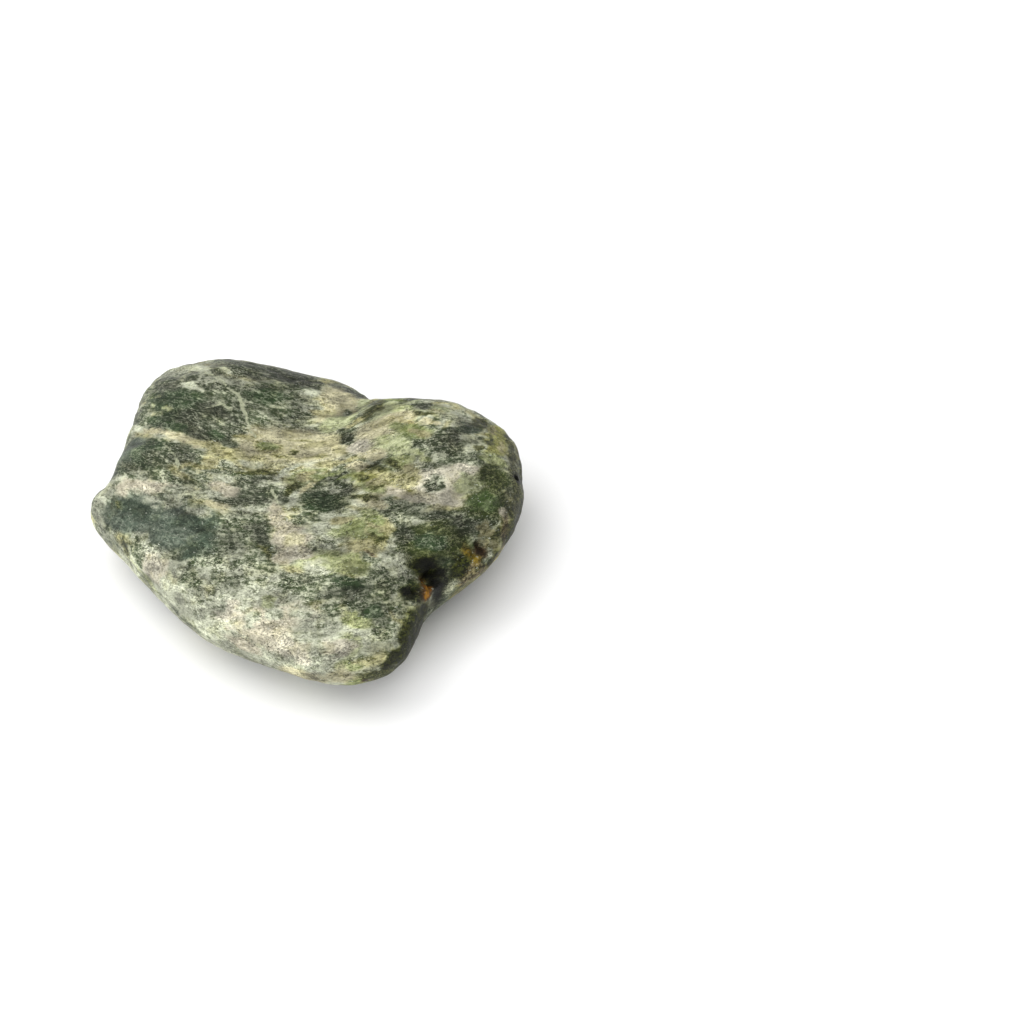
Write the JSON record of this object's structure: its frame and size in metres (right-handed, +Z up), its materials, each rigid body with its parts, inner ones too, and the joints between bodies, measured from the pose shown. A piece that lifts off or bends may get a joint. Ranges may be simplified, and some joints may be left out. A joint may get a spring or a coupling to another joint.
{
  "type": "greenstone pebble",
  "caption": "Broad, flattish river-worn pebble of mottled green stone with a satin skin, resting on a small worn flat underneath.",
  "frame": {"origin": "under the middle of the stone's box, on the surface that it rests on", "axes": "+X along the stone's width, from the pointed left end to the right lobe; +Y to its back; +Z up"},
  "size_m": [0.066, 0.064, 0.0215],
  "materials": {
    "jade_green_stone": "satin, mottled dark green, grey green and cream"
  },
  "bodies": {
    "root": {"pebble": "jade_green_stone"}
  },
  "joints": []
}
